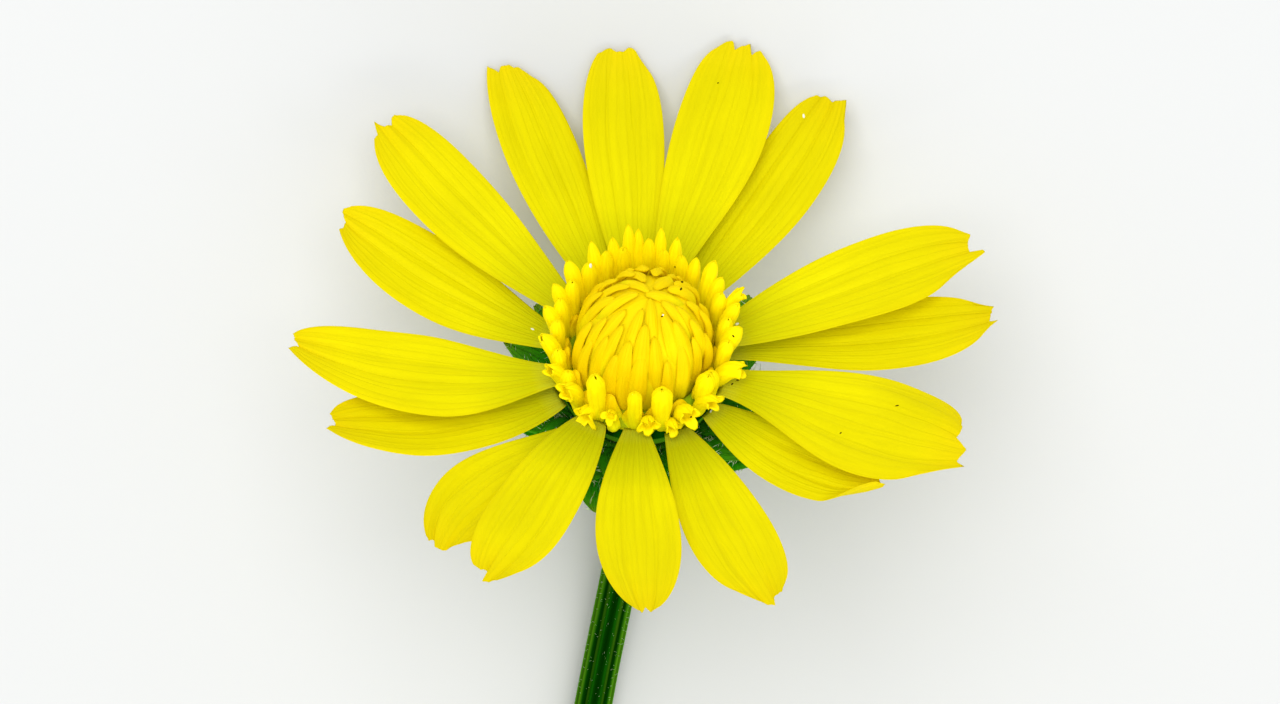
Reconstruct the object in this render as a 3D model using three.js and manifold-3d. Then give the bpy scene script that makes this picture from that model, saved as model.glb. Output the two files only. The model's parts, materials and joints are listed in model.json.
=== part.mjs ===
// A wild yellow composite flower, cut and laid down: it rests on its lowest rays' tips and on its stalk.
// Millimetres, +Z up. The table is z = 0, and the origin is the middle of the flower's space there.
// The head is built in a frame of its own: x and y in the plane of the rays, z along the head's axis.
import * as THREE from "three";
import { mergeVertices } from "three/addons/utils/BufferGeometryUtils.js";
import Module from "manifold-3d";

// The head as it lies: its axis points towards -Y and this many degrees above the table.
const HEAD_ELEVATION = THREE.MathUtils.degToRad(44);
const HEAD_HEIGHT = 12.9;

// The stalk, from the back of the head down to the table and along it.
const STALK_RADIUS = 1.12;
const STALK_RIBS = 6;
const SIDES_PER_RIB = 3;
const RIB_DEPTH = 0.07;
const STALK_START = -5;
const STALK_STRAIGHT = 1.5;
const STALK_RUN = 66;
const STALK_DRIFT = 7;
const STALK_DRIFT_LENGTH = 23;
const STALK_FLAT = 0.06;
const BEND_STEPS = 5;
const RUN_STEPS = 5;
const STALK_STEPS = 28;

// The green receptacle under the disc, as half a section: distance from the axis, height along it.
const CUP_SECTION = [
  [0, -6.4],
  [1.2, -6.4],
  [1.6, -5.9],
  [2.6, -4.9],
  [3.7, -3.8],
  [4.5, -2.8],
  [4.7, -1.95],
  [0, -1.95],
];
const CUP_SIDES = 28;

// Bracts: a ring of narrow ones round the cup and five leafy ones below.
const BLADE = 0.6;
const INNER_BRACTS = 9;
const INNER_BRACT_WIDTH = 2.3;
const INNER_BRACT_ROOT = 0.75;
const INNER_BRACT_PATH = [
  [3.45, -4.92],
  [4.9, -3.9],
  [7.05, -2.4],
];
const INNER_BRACT_COLUMNS = [-1, 0, 1];
const BRACT_BAND = [
  [2.9, -5.05],
  [3.32, -5.47],
  [4.12, -4.67],
  [3.7, -4.25],
];
const OUTER_BRACT_TURNS = [-104, -32, 40, 112, 184];
const OUTER_BRACT_WIDTH = 4.4;
const OUTER_BRACT_ROOT = 0.36;
const OUTER_BRACT_PATH = [
  [2.05, -6.35],
  [5.5, -6.5],
  [10.1, -1.9],
];
const OUTER_BRACT_COLUMNS = [-1, -0.5, 0, 0.5, 1];
const BRACT_ROWS = [0, 0.2, 0.4, 0.6, 0.8, 1];
const BRACT_WIDEST = 0.45;
const BRACT_END = 1.07;
const BRACT_FULLNESS = 0.9;
const BRACT_KEEL = 0.25;

// Rays: each has a narrow claw at CLAW_RADIUS. The upper ones seat higher than those below a neighbour.
const CLAW_RADIUS = 5.35;
const CLAW_SHARE = 0.31;
const UPPER = -0.6;
const LOWER = -1.5;
// The outline goes from an oval end, the first of each pair, to a square one.
const RAY_WIDEST = [0.6, 0.65];
const RAY_END = [1.025, 1.075];
const RAY_FULLNESS = [0.62, 0.45];
const RAY_DISH = 0.22;
const RAY_DISH_LEVEL = 0.33;
const NOTCH_SPREAD = 0.3;
const CORNER_CUT = 0.3;
const CORNER_SHARPNESS = 2.5;
const END_CUT_SHARPNESS = 6;
const TWIST_DONE = 0.6;
const CREASE_REACH = 0.6;
const CURL_FROM = 0.76;
// Rays that would reach the table bend up this far above it, over a height of about the softness.
const TABLE_CLEAR = 0.36;
const TABLE_SOFTNESS = 0.5;
// claw and tip are turns in degrees round the head's axis, bow is how far the middle swings between them;
// reach and rise place the tip, sag moves the middle along the axis, twist rolls the blade in degrees,
// blunt is 0 for an oval tip and 1 for a square one, taper over 1 slims the part next to the claw, and
// each notch is [place across, depth]. A crease folds one edge down in degrees, and a curl lifts the tip.
const RAYS = [
  {
    claw: 94.5, tip: 94.2, reach: 20.5, rise: 2, sag: -0.1, width: 4.6,
    blunt: 0.9, taper: 1.2, seat: -1, notches: [[0, 0.5]],
  },
  {
    claw: 71, tip: 73.2, reach: 21.5, rise: 2.2, sag: 0.15, width: 5.5,
    blunt: 0.9, seat: -0.4, notches: [[-0.5, 0.5], [0.25, 0.6]],
  },
  {
    claw: 53, tip: 56.2, reach: 20.2, rise: 1.3, sag: -0.3, width: 4.6,
    blunt: 0.7, seat: LOWER, notches: [[-0.25, 0.6], [0.5, 0.3]],
  },
  {
    claw: 17, tip: 15.8, bow: 1.5, reach: 19.9, rise: 2.8, sag: 0.2, width: 5.1,
    blunt: 0.7, seat: UPPER, notches: [[0, 0.5]],
  },
  {
    claw: 6, tip: 1.6, bow: -2.5, reach: 20, rise: 2.4, sag: -0.6, width: 4.5,
    blunt: 0.3, seat: LOWER, notches: [[0, 0.4]],
  },
  {
    claw: -23.5, tip: -26.4, bow: -0.8, reach: 19.9, rise: 2.8, sag: 0.2, width: 6.4,
    blunt: 1, seat: UPPER, notches: [[-0.5, 0.5], [0.5, 0.5]], crease: 24,
  },
  {
    claw: -45, tip: -44, reach: 17.7, rise: 0.9, sag: -0.2, width: 4.4,
    blunt: 0, seat: LOWER, notches: [], curl: 3,
  },
  {
    claw: -69, tip: -68.8, bow: -1, reach: 19.8, rise: 1.5, sag: -0.1, width: 4.6,
    blunt: 0.5, seat: -1.3, notches: [[0.5, 0.4]],
  },
  {
    claw: -92.5, tip: -89.4, reach: 19.7, rise: 2.8, width: 4.9,
    blunt: 0.2, seat: UPPER, notches: [[0, 0.35]],
  },
  {
    claw: -119.5, tip: -116.3, reach: 19.9, rise: 2.8, width: 4.8,
    blunt: 0.4, seat: UPPER, notches: [[-0.25, 0.7]],
  },
  {
    claw: -126, tip: -129.5, bow: -2, reach: 17.9, rise: 1, sag: -0.2, width: 4.8,
    blunt: 0.5, seat: LOWER, notches: [[0, 0.3]],
  },
  {
    claw: -154.5, tip: -159.8, bow: 1, reach: 18.6, rise: 1.2, sag: -0.8, width: 4.9,
    blunt: 0.2, seat: LOWER, notches: [[0.25, 0.4]],
  },
  {
    claw: -167, tip: -175.6, reach: 20, rise: 2.9, sag: -0.4, width: 5.5, twist: -6,
    blunt: 0.3, seat: UPPER, notches: [[0, 0.4]],
  },
  {
    claw: 161.5, tip: 155.8, reach: 18.8, rise: 2, sag: -0.7, width: 5.1, twist: -3,
    blunt: 0.5, seat: LOWER, notches: [[0, 0.4]],
  },
  {
    claw: 141, tip: 135.8, reach: 20.7, rise: 2.5, sag: 0.1, width: 5.1,
    blunt: 0.9, seat: UPPER, notches: [[-0.5, 0.5], [0.25, 0.6]],
  },
  {
    claw: 115, tip: 112.2, reach: 20.8, rise: 1.4, sag: -0.3, width: 4.1,
    blunt: 0.8, taper: 1.3, seat: LOWER, notches: [[0, 0.35]],
  },
];
const RAY_COLUMNS = [-1, -0.75, -0.5, -0.25, 0, 0.25, 0.5, 0.75, 1];
const RAY_ROWS = [0, 0.13, 0.28, 0.44, 0.6, 0.76, 0.9, 1];

// The disc's dome: a core, and pales that lie up it with their roots sunk in.
const DOME_RADIUS = 3.5;
const DOME_WAIST = 0.4;
const DOME_TOP = 4.8;
const DOME_FOOT = -1.62;
const DOME_SIDES = 20;
const DOME_STEPS = 6;
const PALES = 68;
const PALE_SECTION = [
  [0, 0],
  [0.45, 0.7],
  [0.42, 1.45],
  [0, 2.35],
];
const PALE_SIDES = 5;
const PALE_THICKNESS = 0.72;
const PALE_SIZES = [0.72, 1.02];
const PALE_SIZE_PLAY = 0.08;
const PALE_TURN_PLAY = 0.1;
const PALE_SPAN = 0.56;
const PALE_SINK = 0.1;
const PALE_LIFT = 0.42;
const PALE_LEAN = 0.16;
const PALE_LOWEST = 1.36;
const GOLDEN_TURN = Math.PI * (3 - Math.sqrt(5));

// The open florets: a ring that they stand on, and tips that lie low in front and stand up behind.
const FLORETS = 22;
const FLORET_RING = [
  [4.4, -1.62],
  [5.02, -1.62],
  [5.02, 0.05],
  [4.85, 0.6],
  [4.45, 0.9],
];
const FLORET_ROOT = [4.68, -0.1];
const FLORET_NEAR = [6.8, 1.65];
const FLORET_FAR = [5.5, 4.2];
const FLORET_PLAY = { turn: 0.4, reach: 0.4, height: 0.6, side: 0.5 };
// Half a section: distance from the floret's axis, and height as a share of its length.
const FLORET_SECTION = [
  [0, 0],
  [0.3, 0],
  [0.34, 0.5],
  [0.46, 0.8],
  [0.62, 1],
];
const FLORET_THROAT = 0.4;
const FLORET_LOBES = 5;
const LOBE_GROWTH = 0.18;
const LOBE_NOTCH = 0.35;

const wasm = await Module();
wasm.setup();

// A small repeatable source of numbers between -0.5 and 0.5.
function seeded(seed) {
  let state = seed;
  return () => {
    state = (state * 16807) % 2147483647;
    return state / 2147483647 - 0.5;
  };
}

// 0 at both ends of a stretch and 1 in its middle.
function hump(t) {
  return 4 * t * (1 - t);
}

function solidOf(geometry) {
  const bare = new THREE.BufferGeometry();
  bare.setAttribute("position", geometry.getAttribute("position"));
  if (geometry.index) bare.setIndex(geometry.index);
  const merged = mergeVertices(bare, 1e-4);
  return new wasm.Manifold(
    new wasm.Mesh({
      numProp: 3,
      vertProperties: merged.attributes.position.array,
      triVerts: new Uint32Array(merged.index.array),
    }),
  );
}

function geometryOf(solid) {
  const mesh = solid.getMesh();
  const geometry = new THREE.BufferGeometry();
  geometry.setAttribute("position", new THREE.BufferAttribute(mesh.vertProperties, mesh.numProp));
  geometry.setIndex(new THREE.BufferAttribute(mesh.triVerts, 1));
  return geometry;
}

function latheGeometry(section, sides) {
  return new THREE.LatheGeometry(
    section.map(([radius, height]) => new THREE.Vector2(radius, height)),
    sides,
  ).rotateX(Math.PI / 2);
}

// A point at a distance from the head's axis, at a turn in radians, moved sideways and along the axis.
function around(radius, turn, sideways, height) {
  return new THREE.Vector3(
    radius * Math.cos(turn) - sideways * Math.sin(turn),
    radius * Math.sin(turn) + sideways * Math.cos(turn),
    height,
  );
}

// A closed blade: the surface place(s, t) with s across and t along it, given a thickness.
// Both faces are split into triangles alike, so a waved blade never crosses itself.
function bladeGeometry(place, columns, rows) {
  const step = 0.01;
  const positions = [];
  for (const side of [1, -1]) {
    for (const t of rows) {
      for (const s of columns) {
        const across = place(s + step, t).sub(place(s - step, t));
        const along = place(s, Math.min(1, t + step)).sub(place(s, Math.max(0, t - step)));
        const normal = along.cross(across).normalize();
        const point = place(s, t).addScaledVector(normal, (side * BLADE) / 2);
        positions.push(point.x, point.y, point.z);
      }
    }
  }
  const across = columns.length;
  const face = across * rows.length;
  const index = [];
  for (let j = 0; j + 1 < rows.length; j++) {
    for (let i = 0; i + 1 < across; i++) {
      const a = j * across + i;
      const [b, c, d] = [a + 1, a + across + 1, a + across];
      index.push(a, c, b, a, d, c);
      index.push(a + face, b + face, c + face, a + face, c + face, d + face);
    }
  }
  const rim = [];
  for (let i = 0; i + 1 < across; i++) rim.push(i);
  for (let j = 0; j + 1 < rows.length; j++) rim.push(j * across + across - 1);
  for (let i = across - 1; i > 0; i--) rim.push(face - across + i);
  for (let j = rows.length - 1; j > 0; j--) rim.push(j * across);
  rim.forEach((a, k) => {
    const b = rim[(k + 1) % rim.length];
    index.push(a, b, b + face, a, b + face, a + face);
  });
  const geometry = new THREE.BufferGeometry();
  geometry.setAttribute("position", new THREE.Float32BufferAttribute(positions, 3));
  geometry.setIndex(index);
  return geometry;
}

// How wide a ray is at t along it, as a share of its greatest width.
function rayShare(t, blunt, taper) {
  const [widest, end, fullness] = [RAY_WIDEST, RAY_END, RAY_FULLNESS].map(([oval, square]) =>
    THREE.MathUtils.lerp(oval, square, blunt),
  );
  if (t < widest) return CLAW_SHARE + (1 - CLAW_SHARE) * Math.sin((Math.PI / 2) * (t / widest)) ** taper;
  return (1 - ((t - widest) / (end - widest)) ** 2) ** fullness;
}

// How much of a ray is missing at its end, at s across it: its notches, and its rounded corners.
function endCut(ray, s) {
  const notches = ray.notches.map(([at, depth]) => depth * Math.max(0, 1 - Math.abs(s - at) / NOTCH_SPREAD));
  return Math.max(0, ...notches) + CORNER_CUT * Math.abs(s) ** CORNER_SHARPNESS;
}

// Bends a point of the head up where it would reach the table, as a soft ray bends there.
function bentByTable(point) {
  const height = HEAD_HEIGHT - point.y * Math.cos(HEAD_ELEVATION) + point.z * Math.sin(HEAD_ELEVATION);
  const over = height - TABLE_CLEAR;
  const rise = (Math.hypot(over, TABLE_SOFTNESS) - over) / 2;
  point.y -= rise * Math.cos(HEAD_ELEVATION);
  point.z += rise * Math.sin(HEAD_ELEVATION);
  return point;
}

function rayPlace({ bow = 0, sag = 0, twist = 0, taper = 1, crease = 0, curl = 0, ...ray }) {
  const { degToRad, smoothstep } = THREE.MathUtils;
  const length = ray.reach - CLAW_RADIUS;
  const fold = degToRad(crease);
  return (s, row) => {
    const t = row - (endCut(ray, s) / length) * row ** END_CUT_SHARPNESS;
    const turn = degToRad(ray.claw + (ray.tip - ray.claw) * t + bow * hump(t));
    const share = rayShare(row, ray.blunt, taper);
    const folded = crease ? Math.max(0, s - 1 + CREASE_REACH * t) * (ray.width / 2) * share : 0;
    const across = (s * ray.width * share) / 2 - folded * (1 - Math.cos(fold));
    const dish = RAY_DISH * (s * s - RAY_DISH_LEVEL) * share - folded * Math.sin(fold);
    const roll = degToRad(twist) * smoothstep(t, 0, TWIST_DONE);
    const sideways = across * Math.cos(roll) - dish * Math.sin(roll);
    const lift = across * Math.sin(roll) + dish * Math.cos(roll);
    const curled = curl * Math.max(0, (t - CURL_FROM) / (1 - CURL_FROM)) ** 2;
    const height = ray.seat + (ray.rise - ray.seat) * t + sag * hump(t) + curled;
    return bentByTable(around(CLAW_RADIUS + length * t, turn, sideways, height + lift));
  };
}

// A bract's surface: a path of [distance from the axis, height], and a pointed outline with a slight keel.
function bractPlace(path, width, rootShare, turn) {
  const curve = new THREE.QuadraticBezierCurve(...path.map((point) => new THREE.Vector2(...point)));
  return (s, t) => {
    const middle = curve.getPoint(t);
    const grown = Math.sin((Math.PI / 2) * Math.min(1, t / BRACT_WIDEST));
    const narrowed = Math.max(0, (t - BRACT_WIDEST) / (BRACT_END - BRACT_WIDEST));
    const pointed = Math.cos((Math.PI / 2) * narrowed) ** BRACT_FULLNESS;
    const share = (rootShare + (1 - rootShare) * grown) * pointed;
    return around(middle.x, turn, (s * width * share) / 2, middle.y + BRACT_KEEL * share * s * s);
  };
}

// The stalk's middle line: straight out of the back of the head, round to level, and along the table.
function stalkLine() {
  const back = new THREE.Vector3(0, Math.cos(HEAD_ELEVATION), -Math.sin(HEAD_ELEVATION));
  const start = back.clone().multiplyScalar(-STALK_START);
  start.z += HEAD_HEIGHT;
  const bendStart = start.clone().addScaledVector(back, STALK_STRAIGHT);
  const points = [start, bendStart];
  const rest = STALK_RADIUS - STALK_FLAT;
  const bend = (bendStart.z - rest) / (1 - Math.cos(HEAD_ELEVATION));
  for (let i = 1; i <= BEND_STEPS; i++) {
    const slope = HEAD_ELEVATION * (1 - i / BEND_STEPS);
    const ahead = bend * (Math.sin(HEAD_ELEVATION) - Math.sin(slope));
    points.push(new THREE.Vector3(0, bendStart.y + ahead, rest + bend * (1 - Math.cos(slope))));
  }
  const level = points.at(-1);
  for (let i = 1; i <= RUN_STEPS; i++) {
    points.push(new THREE.Vector3(0, level.y + (STALK_RUN * i) / RUN_STEPS, rest));
  }
  for (const point of points) {
    const out = Math.max(0, point.y - bendStart.y);
    point.x = (STALK_DRIFT * out * out) / (out * out + STALK_DRIFT_LENGTH ** 2);
  }
  return new THREE.CatmullRomCurve3(points, false, "centripetal");
}

// The stalk, ribbed lengthwise, with its underside cut flat by the table.
function stalkSolid() {
  const sides = STALK_RIBS * SIDES_PER_RIB;
  const outline = new THREE.Shape();
  for (let i = 0; i < sides; i++) {
    const turn = (2 * Math.PI * i) / sides;
    const radius = STALK_RADIUS - (i % SIDES_PER_RIB ? RIB_DEPTH : 0);
    if (i) outline.lineTo(radius * Math.cos(turn), radius * Math.sin(turn));
    else outline.moveTo(radius, 0);
  }
  const along = { steps: STALK_STEPS, bevelEnabled: false, extrudePath: stalkLine() };
  const tube = new THREE.ExtrudeGeometry(outline, along);
  const reach = 3 * STALK_RUN;
  const depth = 4 * STALK_RADIUS;
  const table = new THREE.BoxGeometry(reach, reach, depth).translate(0, 0, -depth / 2);
  return solidOf(tube).subtract(solidOf(table));
}

// A point on the dome, at an angle down from its top, or lifted off it.
function onDome(angle, turn, lift) {
  const round = Math.min(angle, Math.PI / 2);
  const below = (angle - round) * DOME_RADIUS;
  const height = DOME_WAIST + (DOME_TOP - DOME_WAIST + lift) * Math.cos(round);
  return around((DOME_RADIUS + lift) * Math.sin(round), turn, 0, height - below);
}

// The dome: its core, and pales on a golden spiral, each leaning over the next one up.
function domeSolid() {
  const section = [
    [0, DOME_FOOT],
    [DOME_RADIUS, DOME_FOOT],
  ];
  for (let i = 0; i < DOME_STEPS; i++) {
    const rise = (Math.PI / 2) * (i / DOME_STEPS);
    section.push([DOME_RADIUS * Math.cos(rise), DOME_WAIST + (DOME_TOP - DOME_WAIST) * Math.sin(rise)]);
  }
  section.push([0, DOME_TOP]);
  let dome = solidOf(latheGeometry(section, DOME_SIDES));
  const random = seeded(11);
  for (let i = 0; i < PALES; i++) {
    const share = (i + 0.5) / PALES;
    const fromTop = Math.acos(1 - share * (1 - Math.cos(PALE_LOWEST)));
    const turn = i * GOLDEN_TURN + PALE_TURN_PLAY * random();
    const size = THREE.MathUtils.lerp(...PALE_SIZES, share) + PALE_SIZE_PLAY * random();
    const root = onDome(fromTop + PALE_SPAN * size, turn, -PALE_SINK);
    const tip = onDome(fromTop, turn, PALE_LIFT).add(around(0, turn, PALE_LEAN, 0));
    const up = tip.sub(root).normalize();
    const outward = onDome(fromTop, turn, 1).sub(onDome(fromTop, turn, 0));
    const across = up.clone().cross(outward).normalize();
    const placed = new THREE.Matrix4().makeBasis(across, up.clone().cross(across), up).setPosition(root);
    const pale = latheGeometry(PALE_SECTION, PALE_SIDES).scale(size, size * PALE_THICKNESS, size);
    dome = dome.add(solidOf(pale.applyMatrix4(placed)));
  }
  return dome;
}

// One open floret, standing on the origin: a slim tube that flares into lobes.
function floretGeometry(length) {
  const section = FLORET_SECTION.map(([radius, share]) => [radius, share * length]);
  const edge = section.length - 1;
  section.push([0, length - FLORET_THROAT]);
  const sides = FLORET_LOBES * 2;
  const geometry = latheGeometry(section, sides);
  const position = geometry.getAttribute("position");
  for (let side = 0; side <= sides; side++) {
    const at = side * section.length + edge;
    const grown = side % 2 ? 1 - LOBE_GROWTH : 1 + LOBE_GROWTH;
    position.setXY(at, position.getX(at) * grown, position.getY(at) * grown);
    if (side % 2) position.setZ(at, length - LOBE_NOTCH);
  }
  return geometry;
}

function floretsSolid() {
  const { lerp } = THREE.MathUtils;
  let ring = solidOf(latheGeometry([...FLORET_RING, FLORET_RING[0]], DOME_SIDES));
  const random = seeded(5);
  for (let i = 0; i < FLORETS; i++) {
    const turn = (2 * Math.PI * (i + FLORET_PLAY.turn * random())) / FLORETS;
    const far = (1 + Math.sin(turn)) / 2;
    const reach = lerp(FLORET_NEAR[0], FLORET_FAR[0], far) + FLORET_PLAY.reach * random();
    const height = lerp(FLORET_NEAR[1], FLORET_FAR[1], far) + FLORET_PLAY.height * random();
    const root = around(FLORET_ROOT[0], turn, 0, FLORET_ROOT[1]);
    const up = around(reach, turn, FLORET_PLAY.side * random(), height).sub(root);
    const floret = floretGeometry(up.length());
    const leaning = new THREE.Quaternion().setFromUnitVectors(new THREE.Vector3(0, 0, 1), up.normalize());
    floret.applyQuaternion(leaning).translate(root.x, root.y, root.z);
    ring = ring.add(solidOf(floret));
  }
  return ring;
}

function innerBractsSolid() {
  let ring = solidOf(latheGeometry([...BRACT_BAND, BRACT_BAND[0]], CUP_SIDES));
  for (let i = 0; i < INNER_BRACTS; i++) {
    const turn = (2 * Math.PI * (i + 0.5)) / INNER_BRACTS;
    const place = bractPlace(INNER_BRACT_PATH, INNER_BRACT_WIDTH, INNER_BRACT_ROOT, turn);
    ring = ring.add(solidOf(bladeGeometry(place, INNER_BRACT_COLUMNS, BRACT_ROWS)));
  }
  return ring;
}

const yellow = { color: 0xf5e800, roughness: 0.55, metalness: 0 };
const orangeYellow = { color: 0xf5d408, roughness: 0.6, metalness: 0 };
const leafGreen = { color: 0x2f7a1c, roughness: 0.7, metalness: 0 };
const stalkGreen = { color: 0x1f5a12, roughness: 0.7, metalness: 0 };

function piece(name, geometry, look) {
  const mesh = new THREE.Mesh(geometry, new THREE.MeshStandardMaterial(look));
  mesh.name = name;
  return mesh;
}

const headAxes = new THREE.Matrix4().makeBasis(
  new THREE.Vector3(-1, 0, 0),
  new THREE.Vector3(0, -Math.sin(HEAD_ELEVATION), -Math.cos(HEAD_ELEVATION)),
  new THREE.Vector3(0, -Math.cos(HEAD_ELEVATION), Math.sin(HEAD_ELEVATION)),
);
const head = new THREE.Group();
head.quaternion.setFromRotationMatrix(headAxes);
head.position.z = HEAD_HEIGHT;

RAYS.forEach((ray, i) => {
  const name = "ray_" + String(i + 1).padStart(2, "0");
  head.add(piece(name, bladeGeometry(rayPlace(ray), RAY_COLUMNS, RAY_ROWS), yellow));
});
head.add(piece("disc_pales", geometryOf(domeSolid()), orangeYellow));
head.add(piece("disc_florets", geometryOf(floretsSolid()), orangeYellow));
head.add(piece("inner_bracts", geometryOf(innerBractsSolid()), leafGreen));
OUTER_BRACT_TURNS.forEach((degrees, i) => {
  const turn = THREE.MathUtils.degToRad(degrees);
  const place = bractPlace(OUTER_BRACT_PATH, OUTER_BRACT_WIDTH, OUTER_BRACT_ROOT, turn);
  head.add(piece("outer_bract_" + (i + 1), bladeGeometry(place, OUTER_BRACT_COLUMNS, BRACT_ROWS), leafGreen));
});

// The stalk and the receptacle grew as one piece.
const cup = latheGeometry(CUP_SECTION, CUP_SIDES).applyMatrix4(headAxes).translate(0, 0, HEAD_HEIGHT);
const stalk = piece("stalk", geometryOf(stalkSolid().add(solidOf(cup))), stalkGreen);

// The origin goes to the middle of the flower's box, on the table.
const flower = new THREE.Group();
flower.add(head, stalk);
const box = new THREE.Box3().setFromObject(flower, true);
const middle = box.getCenter(new THREE.Vector3());
flower.position.set(-middle.x, -middle.y, -box.min.z);
const group = new THREE.Group();
group.add(flower);

export default group;
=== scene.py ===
# %% [markdown]
# A cut wild chrysanthemum, dressed around its CAD model.
# The flower lies on a table: its face looks up and towards -Y, and its stalk runs away along +Y. The CAD
# model holds every petal, bract and floret as a plain solid. This script hides those solids and grows finer
# pieces in their place, from the same kind of dimensions and formulas.

import functools
import json
import random
from collections import namedtuple
from itertools import pairwise
from math import acos, copysign, cos, exp, hypot, pi, radians, sin, sqrt, tau

import bmesh
import bpy
from mathutils import Matrix, Vector, noise
from mathutils.bvhtree import BVHTree

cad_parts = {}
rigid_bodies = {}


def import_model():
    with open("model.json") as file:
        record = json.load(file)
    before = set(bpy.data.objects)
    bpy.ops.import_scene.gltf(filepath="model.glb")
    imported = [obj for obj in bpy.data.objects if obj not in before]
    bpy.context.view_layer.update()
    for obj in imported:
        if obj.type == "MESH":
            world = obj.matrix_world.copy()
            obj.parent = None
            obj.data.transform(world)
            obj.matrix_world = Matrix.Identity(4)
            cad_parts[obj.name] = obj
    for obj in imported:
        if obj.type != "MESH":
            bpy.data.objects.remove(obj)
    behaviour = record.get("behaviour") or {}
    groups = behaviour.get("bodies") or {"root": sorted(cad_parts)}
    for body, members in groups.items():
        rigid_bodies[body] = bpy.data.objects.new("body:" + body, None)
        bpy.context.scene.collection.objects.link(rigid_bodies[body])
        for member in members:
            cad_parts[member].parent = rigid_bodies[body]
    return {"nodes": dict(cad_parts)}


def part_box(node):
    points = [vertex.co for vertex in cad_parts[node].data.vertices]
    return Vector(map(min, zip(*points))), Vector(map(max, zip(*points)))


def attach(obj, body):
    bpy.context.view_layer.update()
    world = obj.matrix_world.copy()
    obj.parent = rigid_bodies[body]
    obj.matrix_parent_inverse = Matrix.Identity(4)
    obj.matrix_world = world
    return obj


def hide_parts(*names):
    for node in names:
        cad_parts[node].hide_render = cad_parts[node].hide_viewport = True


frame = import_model()
scene = bpy.context.scene
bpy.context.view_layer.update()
print("nodes:", len(frame["nodes"]))

# %% [markdown]
# The head of the flower is easiest to think about in a frame of its own: u and w lie in the plane of the
# petals, and h runs along the head's axis. One matrix takes such a point, in millimetres, to the table in
# metres. The frame tells where the head is: the stalk's box starts at the cup's rim and ends at the cut.

# %% The head's frame
MM = 0.001
HEAD_ELEVATION = radians(44)
HEAD_SINE = sin(HEAD_ELEVATION)
HEAD_COSINE = cos(HEAD_ELEVATION)
HEAD_HEIGHT = 12.9
CUP_RADIUS = 4.7
CUP_TOP = 1.95
STEM_RADIUS = 1.12
STEM_FLAT = 0.06
STEM_RUN = 66
STEM_DRIFT = 7
STEM_DRIFT_LENGTH = 23
BEND_START = 6.5

bend_top = HEAD_HEIGHT - BEND_START * HEAD_SINE
stem_rest = STEM_RADIUS - STEM_FLAT
bend_radius = (bend_top - stem_rest) / (1 - HEAD_COSINE)
bend_length = bend_radius * HEAD_ELEVATION
stem_length = BEND_START + bend_length + STEM_RUN


def stem_point(distance):
    """The stem's middle line in millimetres: straight back out of the head, round to level, then along."""
    y = min(distance, BEND_START) * HEAD_COSINE
    z = HEAD_HEIGHT - min(distance, BEND_START) * HEAD_SINE
    bent = min(max(distance - BEND_START, 0), bend_length) / bend_radius
    y += bend_radius * (HEAD_SINE - sin(HEAD_ELEVATION - bent))
    z -= bend_radius * (cos(HEAD_ELEVATION - bent) - HEAD_COSINE)
    y += max(distance - BEND_START - bend_length, 0)
    out = max(0, y - BEND_START * HEAD_COSINE)
    x = STEM_DRIFT * out * out / (out * out + STEM_DRIFT_LENGTH ** 2)
    return Vector((x, y, z))


stalk_low, stalk_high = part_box("stalk")
head_x = stalk_low.x + CUP_RADIUS * MM
head_y = stalk_high.y - stem_point(stem_length).y * MM
TABLE = Matrix.Translation((head_x, head_y, 0)) @ Matrix.Scale(MM, 4)
axes = Matrix((
    (-1, 0, 0),
    (0, -HEAD_SINE, -HEAD_COSINE),
    (0, -HEAD_COSINE, HEAD_SINE),
)).transposed()
HEAD = TABLE @ Matrix.Translation((0, 0, HEAD_HEIGHT)) @ axes.to_4x4()
print("head at", [round(v, 5) for v in HEAD.translation], "stem length in mm", round(stem_length, 1))

# %% [markdown]
# Nearly every piece of a flower is a skin rolled round something: a stem, a tube, the two faces of a petal.
# Blender's grid operator makes a flat net, and a formula rolls it up: its two long edges meet, and merging
# by distance closes the seam and the poles. Curves or lofts could make the tubes, but this one helper makes
# them all, and its net gives the materials clean coordinates.

# %% Helpers that shape and finish a piece
MERGE_DISTANCE = 1e-4
BAND_COLUMNS = 64


def smooth(value, low, high):
    """0 below low, 1 above high, and a soft step between."""
    share = min(1, max(0, (value - low) / (high - low)))
    return share * share * (3 - 2 * share)


def mix(a, b, share):
    return a + (b - a) * share


def hump(t):
    """0 at both ends of a stretch and 1 in its middle."""
    return 4 * t * (1 - t)


def around(radius, turn, sideways, height):
    """A point of the head's frame at a distance from its axis and at a turn, moved sideways and along."""
    return Vector((
        radius * cos(turn) - sideways * sin(turn),
        radius * sin(turn) + sideways * cos(turn),
        height,
    ))


def layers(bm):
    """The net's coordinates, and two values at each point: how far along its piece it is, and its tone."""
    uv = bm.loops.layers.uv.get("UVMap") or bm.loops.layers.uv.new("UVMap")
    along = bm.verts.layers.float.get("along") or bm.verts.layers.float.new("along")
    tones = bm.verts.layers.float.get("tone") or bm.verts.layers.float.new("tone")
    return uv, along, tones


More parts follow.
